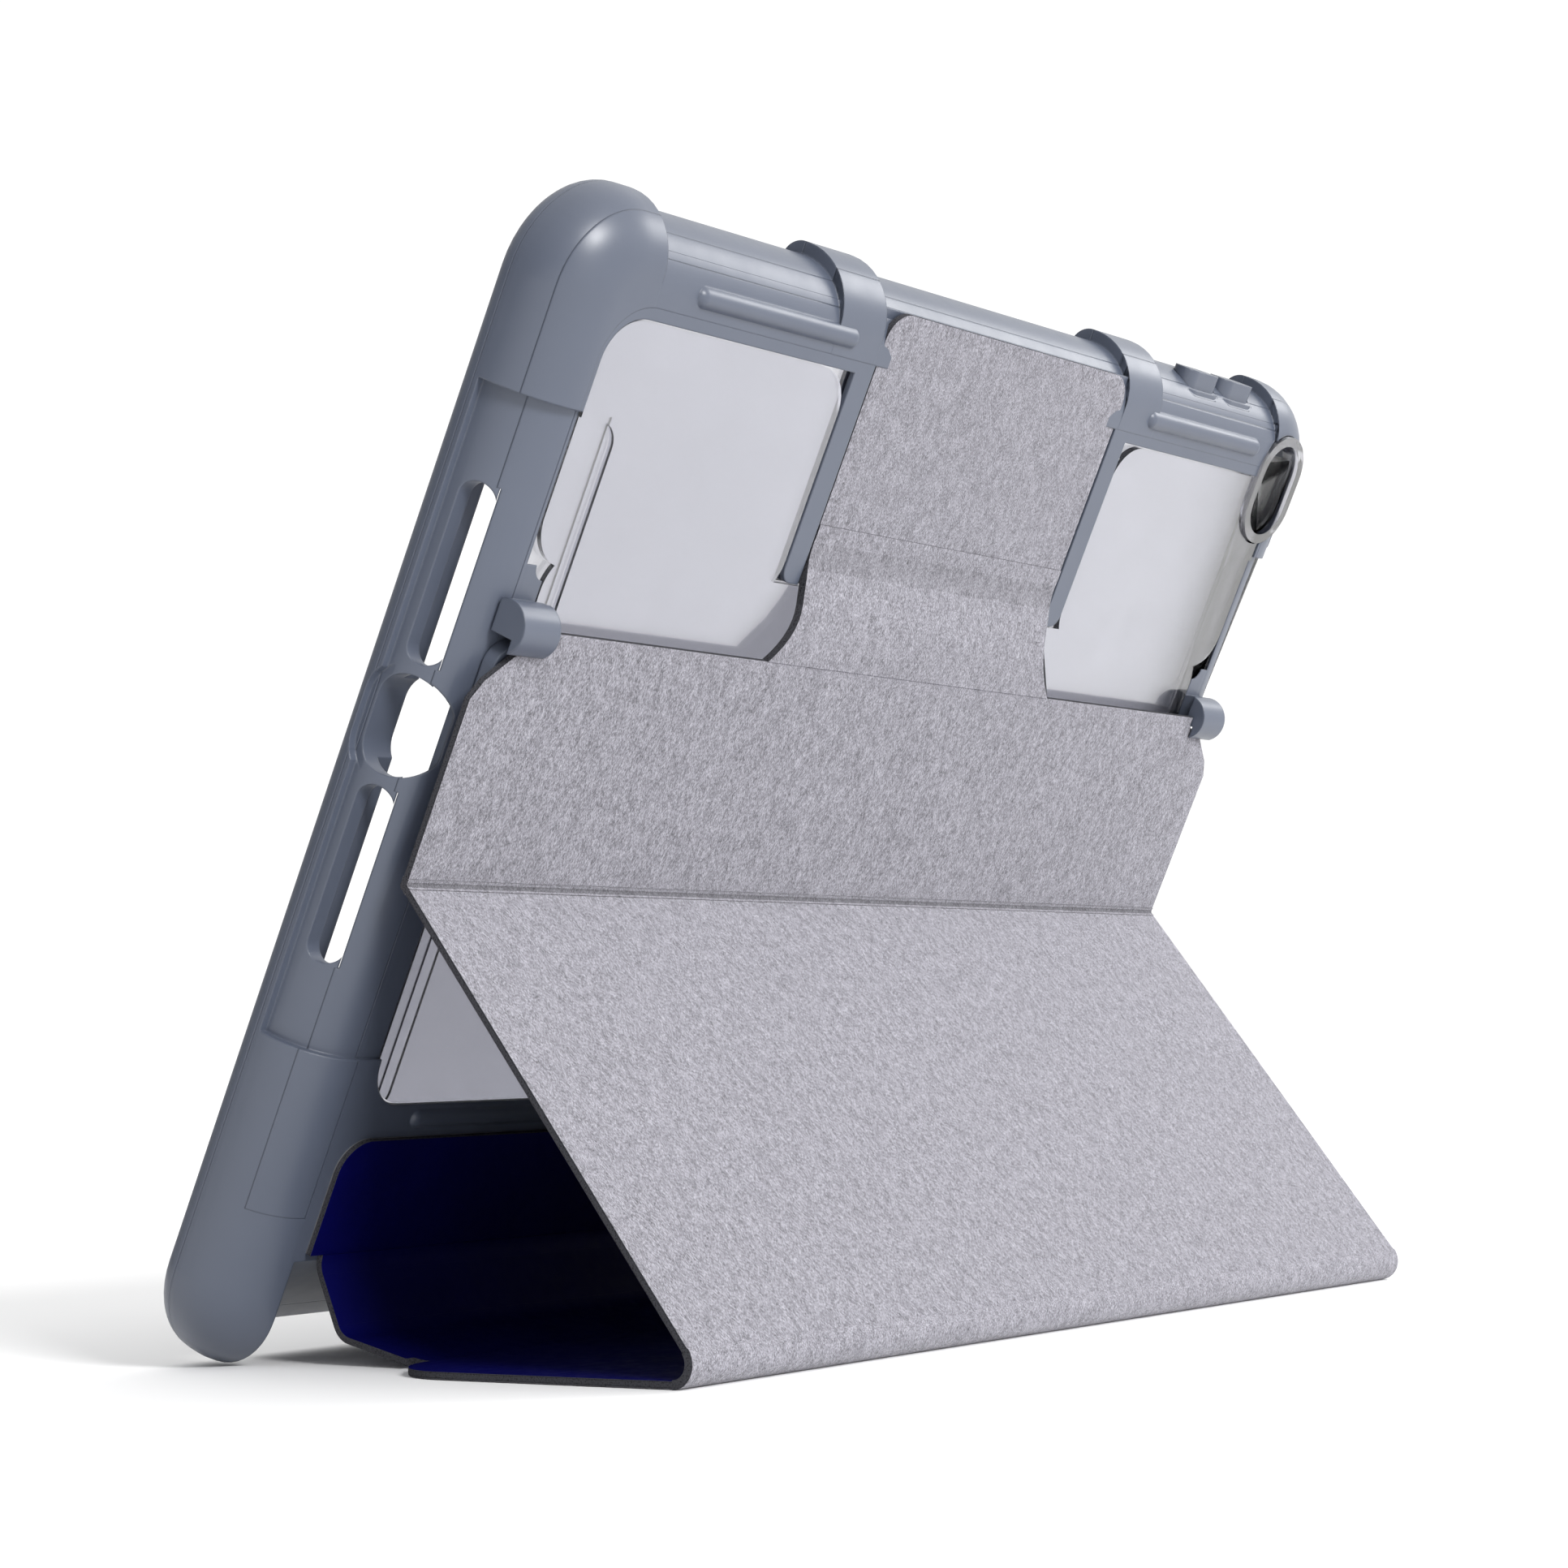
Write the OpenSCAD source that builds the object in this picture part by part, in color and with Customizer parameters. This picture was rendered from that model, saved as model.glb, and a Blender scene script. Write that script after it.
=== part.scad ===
/* [Tablet space] */
// Length of the tablet that the case holds
tablet_l = 240; // [225:1:255]
// Width of that tablet
tablet_w = 169.5; // [160:0.5:180]
// Thickness of that tablet
tablet_t = 7.5; // [6.5:0.1:8.5]
// Corner radius of that tablet, in plan
tablet_r = 10; // [6:0.5:14]
// Free play round the tablet's edge
tablet_play = 0.2; // [0.1:0.05:0.5]

/* [Bumper frame] */
// Wall at each short end
end_wall = 5; // [4:0.5:8]
// Wall along the top edge
top_wall = 7.4; // [6:0.2:9]
// Height of the lower rim, which holds the stylus
lower_rim = 32.4; // [30:0.2:36]
// Depth of the back wall behind the tablet
back_wall = 3.4; // [3:0.1:4.5]
// Height of the front lip over the screen
front_lip = 6.1; // [4:0.1:8]
// How far the lip reaches over the screen
lip_overlap = 3.5; // [2:0.5:5]
// Corner radius of the frame, in plan
frame_r = 17.3; // [16:0.1:20]
// Radius of the frame's back edge
back_edge_r = 12; // [9:0.5:12.4]
// Radius of the frame's front edge
front_edge_r = 4; // [2:0.5:4.5]
// How far the corner bumpers stand out of the top edge
bumper_step = 2.3; // [1:0.1:3]
// Length of a corner bumper along the top edge
corner_l = 21; // [19:1:26]
// Distance from the centre to each small bumper's inner side
mid_bumper_x = 42; // [41.5:0.5:46]
// Width of a small bumper on the top edge
mid_bumper_w = 13; // [8:1:16]
// Depth of the grip hollow in each short side
grip_depth = 1.4; // [0.5:0.1:2]
// Upper end of the grip hollow
grip_top = 57; // [50:1:62]
// Lower end of the grip hollow, below the centre
grip_bottom = 56; // [50:1:60]
// Width of the grip hollow's step on the back face
grip_band = 21; // [18:1:24]
// Depth of that step
grip_step = 0.8; // [0.3:0.1:1]

/* [Back window] */
// Width of the frame beside the window, above the jog
window_rim = 12.7; // [12.1:0.1:17]
// Top of the window
window_top = 73.7; // [70:0.1:76]
// Bottom of the window, below the centre
window_bottom = 64.6; // [62:0.1:65]
// How far the window narrows below the jog
window_jog = 4.9; // [3:0.1:6]
// Height of the jog
jog_height = 31; // [28:1:36]
// Corner radius of the window
window_r = 8; // [4:0.5:10]
// Thickness of the clear back
clear_t = 1.8; // [1.2:0.1:2]
// Half the width of the tongue that carries the tab's bed
tongue_half = 46.5; // [45:0.5:50]
// Lower end of the tongue
tongue_end = 35; // [32:1:40]
// Width of each rail beside the tab's bed
rail_w = 5.2; // [4:0.1:5.4]
// Depth of the tab's bed
bed_depth = 1.8; // [1.7:0.1:2]

/* [Camera opening] */
// Distance of the opening from the centre, along the length
camera_x = 109.3; // [107:0.1:110]
// Height of the opening's middle
camera_v = 71.8; // [69:0.1:73]
// Width of the opening
camera_w = 13; // [10:0.5:14]
// Height of the opening
camera_h = 19.5; // [16:0.5:20]
// Thickness of the clear ring round it
camera_ring = 2; // [1:0.1:2.2]
// How far the ring stands above the frame
camera_rise = 0.5; // [0.2:0.1:1]

/* [Side openings] */
// Length of a speaker slot
speaker_l = 31; // [26:1:33]
// Width of a speaker slot
speaker_w = 5.6; // [4.5:0.1:6.5]
// Distance from the centre to the middle of a speaker slot
speaker_v = 26; // [24:0.5:28]
// Length of the charging opening
port_l = 17; // [14:0.5:17]
// Width of the charging opening
port_w = 10.4; // [8:0.2:11]
// How much the charging opening flares at its mouth
port_flare = 1.6; // [1:0.1:2]
// Diameter of the headphone opening
jack_d = 7; // [6:0.5:8]
// Distance of the headphone opening below the centre
jack_v = 71; // [68:0.5:72]

/* [Buttons] */
// Length of each volume button along the edge
volume_l = 12.4; // [11:0.2:12.8]
// Width of a button across the edge
button_w = 5.6; // [5:0.1:6]
// Middle of the outer volume button
volume_x = 89.3; // [88:0.1:90]
// Distance between the two volume buttons' middles
volume_pitch = 14.4; // [14:0.1:15]
// Length of the power button
power_l = 12; // [10:0.5:14]
// Height of the power button's middle
power_v = 63; // [62.8:0.1:65]
// How far a button stands out
button_rise = 0.9; // [0.6:0.1:1.2]
// How far a button is pressed in
button_travel = 0.6; // [0.3:0.1:0.8]
// Clearance round a button
button_gap = 0.2; // [0.15:0.05:0.3]
// Width of the flange that keeps a button in
button_flange = 1; // [0.6:0.1:1.2]
// Thickness of that flange
flange_t = 1; // [0.8:0.1:1.2]

/* [Stylus trough] */
// Diameter of the trough
trough_d = 9.6; // [9:0.1:10]
// Length of the trough
trough_l = 178; // [160:1:184]
// Distance of the trough's axis below the centre
trough_v = 98.5; // [98:0.1:99.5]
// Depth of the trough's axis below the frame's front
trough_depth = 4; // [3.6:0.1:4.4]
// Mouth of the trough, which grips the stylus
trough_mouth = 8.4; // [8:0.1:9]

/* [Hooks] */
// Distance from the centre to the middle of a hook
hook_x = 111.1; // [110.5:0.1:111.5]
// Width of a hook
hook_w = 9; // [7:0.5:9]
// Radius of a hook's dome
hook_r = 4.6; // [4.4:0.1:5]
// Height of the dome's middle up the back
hook_v = 20.8; // [20.6:0.1:22]
// Gap under a hook's lip and round the panel's corner
hook_gap = 0.3; // [0.2:0.05:0.5]
// Length of the pads that the resting panel lies on
pad_l = 38; // [20:1:38]
// Width of those pads
pad_w = 8.4; // [6:0.2:8.6]

/* [Ribs] */
// Radius of a rib on the back face
rib_r = 2; // [1.5:0.1:2.4]
// Length of a rib
rib_l = 42; // [30:1:44]
// How far a rib stands out
rib_rise = 1; // [0.5:0.1:1.4]

/* [Cover] */
// Half the width of the panels
panel_half = 120; // [116:1:121]
// Length of the panel that lies on the ground, crease to crease
ground_l = 69.8; // [66:0.1:72]
// Length of the prop panel, crease to crease
prop_l = 97.2; // [95:0.1:99]
// Length of the panel that rests on the back, crease to edge
rest_l = 45; // [44:0.1:46]
// Length of the strap between that panel and the tab
strap_l = 25.5; // [25:0.1:26]
// Length of the tab
tab_l = 39.6; // [30:0.1:42]
// Half the width of the strap and the tab
tab_half = 40.8; // [36:0.1:41]
// Thickness of a panel
panel_t = 1.5; // [1.2:0.1:1.6]
// Thickness of the outer skin
skin_t = 0.35; // [0.2:0.05:0.4]
// Thickness of the soft lining
lining_t = 0.4; // [0.2:0.05:0.5]
// Thickness of the spine, which has no board
spine_t = 1.1; // [0.8:0.1:1.2]
// Length of the upper half of the spine
spine_upper_l = 13; // [12:0.1:14]
// Length of the lower half of the spine
spine_lower_l = 17; // [16:0.1:18]
// Half the width of the spine
spine_half = 107; // [100:1:108]
// Half the width of the anchor panel
anchor_half = 110; // [107:1:112]
// Lower end of the anchor panel, where the spine starts
anchor_end = 93.5; // [93:0.1:94]
// Height of the anchor panel
anchor_h = 23; // [20:0.5:23.5]
// Thickness of the glue under the anchor panel
glue_t = 0.2; // [0.1:0.05:0.3]
// Corner radius of the anchor panel
anchor_r = 6; // [3:0.5:8]
// Corner radius of the ground panel, beside the spine
ground_r = 15; // [10:0.5:16]
// Corner radius of the tab
tab_r = 5.5; // [3:0.5:8]
// Radius of the fold on the ground, at the middle of the fabric
ground_fold_r = 3.2; // [2.6:0.1:3.6]
// Radius of the fold against the back, at the middle of the fabric
prop_fold_r = 2.2; // [1.8:0.1:2.6]
// Half the length of each spine crease
crease_half = 2; // [1.5:0.1:2.5]
// Hairline between a soft fold and the panels that it joins
fold_hairline = 0.01; // [0:0.01:0.05]
// Length of the stiff middle of the strap
strap_stay = 3.2; // [2.6:0.1:4]
// Height of the magnets in the resting panel and the tab
magnet_w = 8; // [5:0.5:10]
// Length of each magnet
magnet_l = 24; // [15:1:30]

/* [Stand] */
// Angle between the back and the ground
lean = 63.7; // [61:0.1:66]
// Angle of the upper half of the spine to the ground
spine_angle = 67.9; // [64:0.1:70]
// Height of the resting panel's outer face above the frame's back
rest_height = 3.6; // [3.4:0.1:3.8]

/* [Hidden] */
$fn = 64;
eps = 0.02;
case_half = tablet_l / 2 + end_wall;
case_top = tablet_w / 2 + top_wall;
case_low = tablet_w / 2 + lower_rim;
case_t = back_wall + tablet_t + front_lip;
back_n = 0;
front_n = -case_t;
pocket_back = -back_wall;
pocket_front = -back_wall - tablet_t;
pocket_half = tablet_l / 2 + tablet_play;
pocket_v = tablet_w / 2 + tablet_play;
tablet_mid = -back_wall - tablet_t / 2;
clear_n = pocket_back + clear_t;
top_base = case_top - bumper_step;
bed_half = tongue_half - rail_w;
window_half = case_half - window_rim;

// Where the case stands: its lower corners touch the ground
case_z = (case_low - back_edge_r) * sin(lean) - back_edge_r * cos(lean) + back_edge_r;
front_low_y = (case_low - front_edge_r) * cos(lean) + (case_t - front_edge_r) * sin(lean) + front_edge_r;
function case_pt(v, n) = [-v * cos(lean) - n * sin(lean), case_z + v * sin(lean) - n * cos(lean)];
function dir(a) = [cos(a), sin(a)];
function side(a) = [-sin(a), cos(a)];
function angle_of(p) = atan2(p[1], p[0]);

// Creases of the cover in the stand, in the plane across the case
spine_n = glue_t + spine_t / 2;
upper_angle = 180 + spine_angle;
crease_1 = case_pt(-anchor_end, spine_n);
crease_2 = crease_1 + spine_upper_l * dir(upper_angle);
lower_drop = crease_2[1] - panel_t / 2;
crease_3 = [crease_2[0] - sqrt(spine_lower_l * spine_lower_l - lower_drop * lower_drop), panel_t / 2];
lower_angle = 180 + asin(lower_drop / spine_lower_l);
crease_4 = crease_3 - [ground_l, 0];
rest_mid = rest_height - panel_t / 2;
rest_angle = 180 - lean;
rest_start = case_pt(0, rest_mid) - crease_4;
along = rest_start * dir(rest_angle);
rest_slide = sqrt(along * along - rest_start * rest_start + prop_l * prop_l) - along;
crease_5 = case_pt(rest_slide, rest_mid);
prop_angle = angle_of(crease_5 - crease_4);

// Folds: e is the set-back of a panel from its crease, a and q place the hinge line
ground_turn = prop_angle - 180;
prop_turn = rest_angle - prop_angle;
ground_e = ground_fold_r * tan(-ground_turn / 2);
prop_e = prop_fold_r * tan(prop_turn / 2);
ground_a = ground_fold_r * -ground_turn * PI / 360;
prop_a = prop_fold_r * prop_turn * PI / 360;
ground_q = ground_fold_r - ground_a / tan(-ground_turn / 2);
prop_q = prop_fold_r - prop_a / tan(prop_turn / 2);

// The strap bends round the closed case's top edge, in two quarter turns with a stay between
closed_gap = 0.4;
closed_front = front_n - closed_gap - panel_t / 2;
tab_mid = back_n - bed_depth + hook_gap + panel_t / 2;
strap_wrap = tab_mid - closed_front;
strap_r = (strap_l - strap_wrap) / (PI - 2);
strap_rest = strap_wrap - 2 * strap_r;
strap_a = strap_r * PI / 4;
strap_q = strap_r - strap_a;
strap_span = 2 * strap_a + strap_rest;
strap_slope = asin((rest_mid - tab_mid) / strap_span);
strap_e_low = strap_a - strap_q * tan(strap_slope / 2);
strap_e_high = strap_a + strap_q * tan(strap_slope / 2);
crease_6 = crease_5 + (rest_l + strap_e_low) * dir(rest_angle);
crease_7 = crease_6 + strap_span * dir(rest_angle - strap_slope);

// Bevel of the lower rim that the spine lies on when the cover is closed
spine_l = spine_upper_l + spine_lower_l;
bevel_angle = asin((spine_n - closed_front) / spine_l);
bevel_gap = spine_t / 2 + 0.35;
bevel_half = (spine_half + anchor_half) / 2 + 3.5;

stand_y = -(front_low_y + ground_fold_back()) / 2;
function ground_fold_back() = crease_4[0] + ground_e - ground_fold_r - panel_t / 2;

grey = [0.52, 0.56, 0.64];
clear = [0.86, 0.88, 0.93, 0.45];
navy = [0.05, 0.06, 0.16];
lining_grey = [0.72, 0.71, 0.76];
core_grey = [0.26, 0.26, 0.28];
steel = [0.75, 0.76, 0.78];

// Placing -------------------------------------------------------------

// The case's own frame: X along it, Y up its back, Z out of its back
module on_case() {
    translate([0, stand_y, case_z]) rotate([180 - lean, 0, 0]) children();
}

// A cover panel's frame: Y along the cover from a crease, Z towards the lining
module on_cover(crease, angle) {
    translate([0, stand_y + crease[0], crease[1]]) rotate([angle, 0, 0]) children();
}

// Draws a section in the Y and Z plane and carries it along X
module along_x(w) {
    rotate([90, 0, 90]) linear_extrude(w, center = true) children();
}

module mirrored() {
    children();
    mirror([1, 0, 0]) children();
}

// Flat outline from y0 to y1 with corner radii at its start and its end
module plate_2d(half, y0, y1, r0, r1) {
    difference() {
        translate([-half, y0]) square([2 * half, y1 - y0]);
        corner_cut(half, y0, r0, 1);
        corner_cut(half, y1, r1, -1);
    }
}

module corner_cut(half, y, r, s) {
    if (r > 0) for (x = [-1, 1]) translate([x * (half - r), y + s * r]) difference() {
        translate([x > 0 ? 0 : -r - 1, s > 0 ? -r - 1 : 0]) square([r + 1, r + 1]);
        circle(r);
    }
}

module stadium(l, w) {
    square([l - w, w], center = true);
    for (s = [-1, 1]) translate([s * (l - w) / 2, 0]) circle(w / 2);
}

// Bumper frame ----------------------------------------------------------

// One rounded quarter of the rim's section
module quarter(r, up) {
    intersection() {
        circle(r);
        translate([0, up ? 0 : -r]) square([r, r]);
    }
}

// Section of the rim, from its axis out to w, between the front and back faces
module rim_section(w, n0, n1, r_front, r_back) {
    translate([0, n0]) square([w - r_back, n1 - n0]);
    translate([0, n0]) square([w - r_front, n1 - n0 - r_back]);
    translate([0, n0 + r_front]) square([w, n1 - n0 - r_front - r_back]);
    translate([w - r_back, n1 - r_back]) quarter(r_back, true);
    translate([w - r_front, n0 + r_front]) quarter(r_front, false);
}

module both_rims(half, n0, n1, r_front, r_back) {
    rim_section(half, n0, n1, r_front, r_back);
    mirror([1, 0]) rim_section(half, n0, n1, r_front, r_back);
}

// A block with rounded corners in plan and rounded front and back edges
module slab(half, low, top, n0, n1, r_plan, r_front, r_back) {
    mid = (top - low) / 2;
    high = (top + low) / 2;
    translate([0, mid, 0]) along_x(2 * (half - r_plan)) both_rims(high, n0, n1, r_front, r_back);
    translate([0, top - r_plan, 0]) rotate([90, 0, 0])
        linear_extrude(top + low - 2 * r_plan) both_rims(half, n0, n1, r_front, r_back);
    for (x = [-1, 1]) for (y = [top - r_plan, r_plan - low]) translate([x * (half - r_plan), y, 0])
        rotate_extrude() rim_section(r_plan, n0, n1, r_front, r_back);
}

// The slab, drawn in from its sides, its top and its back
module inner_slab(side_in, top_in, back_in) {
    slab(case_half - side_in, case_low, case_top - top_in, front_n, back_n - back_in,
        frame_r - min(side_in, top_in), front_edge_r, back_edge_r);
}

module block(x0, x1, v0, v1, n0, n1) {
    translate([x0, v0, n0]) cube([x1 - x0, v1 - v0, n1 - n0]);
}

// Stretch of the top edge between two bumpers, from x0 to x1
module top_relief(x0, x1) {
    difference() {
        block(x0, x1, case_top - frame_r, case_top + 1, front_n - 1, back_n + 1);
        inner_slab(0, bumper_step, 0);
    }
}

module grip_hollow() {
    difference() {
        union() {
            block(case_half - grip_band, case_half + 1, -grip_bottom, grip_top, -grip_step - eps, back_n + 1);
            block(case_half - back_edge_r, case_half + 1, -grip_bottom, grip_top, -back_edge_r, back_n + 1);
        }
        inner_slab(grip_depth, 0, grip_step);
    }
}

// Flat that the power button sits in, so that the bumpers stand proud of it
module power_relief() {
    difference() {
        block(case_half - 2 * grip_depth, case_half + 1, power_v - power_l, power_v + power_l, front_n - 1, back_n + 1);
        inner_slab(grip_depth, 0, 0);
    }
}

// The lower rim's back is bevelled between the corner bumpers for the spine
module spine_bevel() {
    along_x(2 * bevel_half) translate([-anchor_end, spine_n]) rotate(180 + bevel_angle)
        translate([-bevel_gap, bevel_gap - case_low]) square([case_low, case_low]);
}

module pocket() {
    translate([0, 0, pocket_front]) linear_extrude(tablet_t + clear_t)
        plate_2d(pocket_half, -pocket_v, pocket_v, tablet_r, tablet_r);
    translate([0, 0, front_n - 1]) linear_extrude(case_t)
        plate_2d(pocket_half - lip_overlap, -pocket_v + lip_overlap, pocket_v - lip_overlap,
            tablet_r - lip_overlap / 2, tablet_r - lip_overlap / 2);
    slab(pocket_half - lip_overlap + lip_flare, pocket_v - lip_overlap + lip_flare,
        pocket_v - lip_overlap + lip_flare, front_n - 3 * lip_flare, front_n + 1.4 * lip_flare,
        tablet_r, 0.5, 1.5 * lip_flare);
}
lip_flare = 2;

module window_2d() {
    difference() {
        union() {
            plate_2d(window_half, jog_height, window_top, 0, window_r);
            plate_2d(window_half - window_jog, -window_bottom, jog_height + eps, window_r, 0);
            for (x = [-1, 1]) translate([x * (window_half - window_jog), jog_height])
                circle(window_jog / 2);
        }
        tongue_2d();
    }
}

module tongue_2d() {
    plate_2d(tongue_half, tongue_end, pocket_v + 2, rail_w / 2, 0);
}

module camera_2d(grow) {
    translate([camera_x, camera_v]) rotate(90) stadium(camera_h + 2 * grow, camera_w + 2 * grow);
}

module side_hole(v, l, w) {
    translate([-pocket_half + tablet_r, v, tablet_mid]) rotate([0, -90, 0])
        linear_extrude(tablet_r + end_wall + 1) rotate(90) stadium(l, w);
}

module side_openings() {
    for (s = [-1, 1]) side_hole(s * speaker_v, speaker_l, speaker_w);
    side_hole(0, port_l, port_w);
    translate([-case_half - 1, 0, tablet_mid]) rotate([0, 90, 0]) linear_extrude(1 + port_flare)
        rotate(90) stadium(port_l + 2 * port_flare, port_w + 2 * port_flare);
    translate([pocket_half - tablet_r, -jack_v, tablet_mid]) rotate([0, 90, 0])
        cylinder(d = jack_d, h = tablet_r + end_wall + 1);
}

module stylus_trough() {
    n = front_n + trough_depth;
    translate([0, -trough_v, n]) rotate([0, 90, 0]) cylinder(d = trough_d, h = trough_l, center = true);
    block(-trough_l / 2, trough_l / 2, -trough_v - trough_mouth / 2, -trough_v + trough_mouth / 2, front_n - 1, n);
    translate([0, -trough_v, front_n - 1]) cylinder(d = 2 * trough_d, h = 1 + trough_depth);
}

// One hook, its dome's lip over the resting panel's corner
module hook() {
    translate([hook_x, hook_v, 0]) along_x(hook_w) difference() {
        translate([0, hook_height - hook_r]) circle(hook_r);
        translate([-2 * hook_r, -hook_r]) square([2 * hook_r - hook_neck, hook_r + rest_height + hook_gap]);
        translate([-hook_r, -2 * hook_r - grip_step - eps]) square([2 * hook_r, 2 * hook_r]);
    }
    translate([hook_x, hook_v, 0]) along_x(hook_w)
        translate([-hook_neck, -grip_step - eps]) square([hook_r + hook_neck - 0.6, hook_height - hook_r + grip_step]);
}
hook_height = rest_height + hook_gap + 2.1;
hook_neck = 1.4;

module rest_pad() {
    top = hook_v - hook_neck - hook_gap - 1;
    translate([hook_x - hook_w / 2 + pad_w / 2 + 0.1, top - pad_l / 2, -grip_step - eps])
        linear_extrude(rest_height - panel_t - hook_gap + grip_step + eps)
        rotate(90) stadium(pad_l, pad_w);
}

// A rounded bar standing out of the back face
module rib(x0, v) {
    intersection() {
        union() {
            translate([x0, v, rib_rise - rib_r]) rotate([0, 90, 0]) cylinder(r = rib_r, h = rib_l);
            for (x = [x0, x0 + rib_l]) translate([x, v, rib_rise - rib_r]) sphere(rib_r);
        }
        block(x0 - rib_r, x0 + rib_l + rib_r, v - rib_r, v + rib_r, -eps - 0.5, rib_rise + 1);
    }
}
rib_top_v = (window_top + top_base - back_edge_r + 5) / 2 + 1;
rib_low_v = -window_bottom - rib_r - 0.6;

module frame_outer() {
    difference() {
        inner_slab(0, 0, 0);
        top_relief(-mid_bumper_x, mid_bumper_x);
        mirrored() top_relief(mid_bumper_x + mid_bumper_w, case_half - corner_l);
        mirrored() grip_hollow();
        power_relief();
        spine_bevel();
    }
    mirrored() hook();
    mirrored() rest_pad();
    rib(-tongue_half - rib_l - 4, rib_top_v);
    rib(tongue_half + 7, rib_top_v);
    mirrored() rib(tongue_half + 5, rib_low_v);
}

module bumper_frame() {
    color(grey) on_case() difference() {
        frame_outer();
        pocket();
        translate([0, 0, clear_n - 1]) linear_extrude(back_wall + 1) {
            window_2d();
            camera_2d(camera_ring + 0.1);
        }
        block(-bed_half, bed_half, tongue_end - 1, case_top + 1, back_n - bed_depth, back_n + 2 * rib_rise);
        keeper_pockets(0);
        side_openings();
        stylus_trough();
        volume_slot(volume_x);
        volume_slot(volume_x - volume_pitch);
        power_slot();
    }
    color(grey) on_case() difference() {
        translate([0, 0, pocket_back]) linear_extrude(back_wall - bed_depth) intersection() {
            tongue_2d();
            plate_2d(tongue_half, 0, pocket_v + 1, 0, 0);
        }
        keeper_pockets(0);
    }
}

// Buttons -----------------------------------------------------------------

// A button's own frame: X along it, Y across the rim, Z outwards from the pocket's wall
module on_top_wall(x) {
    translate([x, pocket_v, tablet_mid]) rotate([-90, 0, 0]) children();
}

module on_end_wall(v) {
    translate([pocket_half, v, tablet_mid]) rotate([0, 90, 0]) rotate(90) children();
}

flange_room = flange_t + button_travel + button_gap + 0.3;

module button_slot(l, wall) {
    translate([0, 0, -1]) linear_extrude(wall + 3) stadium(l + 2 * button_gap, button_w + 2 * button_gap);
    translate([0, 0, -1]) linear_extrude(1 + flange_room)
        stadium(l + 2 * button_flange + 2 * button_gap, button_w + 2 * button_flange + 2 * button_gap);
}

// A cap with a flange that stops it under the wall
module button(l, wall) {
    translate([0, 0, flange_room - flange_t - 0.05]) linear_extrude(flange_t)
        stadium(l + 2 * button_flange, button_w + 2 * button_flange);
    translate([0, 0, flange_room - 0.1]) linear_extrude(wall + button_rise - flange_room + 0.1)
        stadium(l, button_w);
}

top_skin = top_base - pocket_v;
end_skin = case_half - grip_depth - pocket_half;

module volume_slot(x) {
    on_top_wall(x) button_slot(volume_l, top_skin);
}

module power_slot() {
    on_end_wall(power_v) button_slot(power_l, end_skin);
}

module volume_down_button() {
    color(grey) on_case() on_top_wall(volume_x - volume_pitch) button(volume_l, top_skin);
}

module volume_up_button() {
    color(grey) on_case() on_top_wall(volume_x) button(volume_l, top_skin);
}

module power_button() {
    color(grey) on_case() on_end_wall(power_v) button(power_l, end_skin);
}

// Clear back and keepers ----------------------------------------------------

module clear_back() {
    color(clear) on_case() difference() {
        union() {
            translate([0, 0, pocket_back]) linear_extrude(clear_t) difference() {
                plate_2d(pocket_half - 0.05, -pocket_v + 0.05, pocket_v - 0.05, tablet_r, tablet_r);
                offset_tongue_2d();
            }
            translate([0, 0, clear_n - eps]) linear_extrude(camera_rise - clear_n + eps) camera_2d(camera_ring);
        }
        translate([0, 0, pocket_back - 1]) linear_extrude(back_wall + 2) camera_2d(0);
        for (x = [-1, 1]) block(x > 0 ? step_x : -window_half, x > 0 ? window_half : -step_x,
            -window_bottom, grip_top, clear_n - clear_step, clear_n + 1);
    }
}
step_x = case_half - grip_band;
clear_step = 0.5;

module offset_tongue_2d() {
    translate([-tongue_half - 0.1, tongue_end - 0.1]) square([2 * tongue_half + 0.2, pocket_v]);
}

module keeper_pockets(gap) {
    mirrored() translate([bed_half / 2, keeper_v, pocket_back + 0.4])
        linear_extrude(0.8) square([magnet_l - gap, magnet_w - gap], center = true);
}
keeper_v = tongue_end + 30;

module tab_keepers() {
    color(steel) on_case() keeper_pockets(0.1);
}

// Laminated panels ------------------------------------------------------------

// One layer of a laminate between heights z0 and z1 above its middle
module layer(z0, z1) {
    translate([0, 0, z0]) linear_extrude(z1 - z0) children();
}

module skin() { layer(-panel_t / 2, -panel_t / 2 + skin_t) children(); }
module board() { layer(-panel_t / 2 + skin_t, panel_t / 2 - lining_t) children(); }
module lining() { layer(panel_t / 2 - lining_t, panel_t / 2) children(); }

// The soft stretch at a crease: an arc that meets both panels' ends, but for a hairline
module fold(e, turn, t, half) {
    r = e / tan(abs(turn) / 2);
    s = sign(turn);
    gap = atan(fold_hairline / r);
    along_x(2 * half) translate([-e, s * r]) rotate(turn > 0 ? -90 : 90 + turn) intersection() {
        difference() {
            circle(r + t / 2);
            circle(r - t / 2);
        }
        rotate(gap) wedge(abs(turn) - 2 * gap, 2 * r + t);
    }
}

module wedge(a, r) {
    polygon(concat([[0, 0]], [for (i = [0:4]) r * dir(a * i / 4)]));
}

// Anchor panel, glued to the lower rim
anchor_rigid_end = anchor_end - crease_half;
module anchor_2d() {
    translate([0, -anchor_rigid_end]) plate_2d(anchor_half, 0, anchor_h - crease_half, 0, anchor_r);
}
anchor_board_top = glue_t + (spine_t - skin_t);
module anchor_glue() { color(lining_grey) on_case() layer(0, glue_t) anchor_2d(); }
module anchor_board() { color(core_grey) on_case() layer(glue_t, anchor_board_top) anchor_2d(); }
module anchor_skin() { color(navy) on_case() layer(anchor_board_top, glue_t + spine_t) anchor_2d(); }

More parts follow.
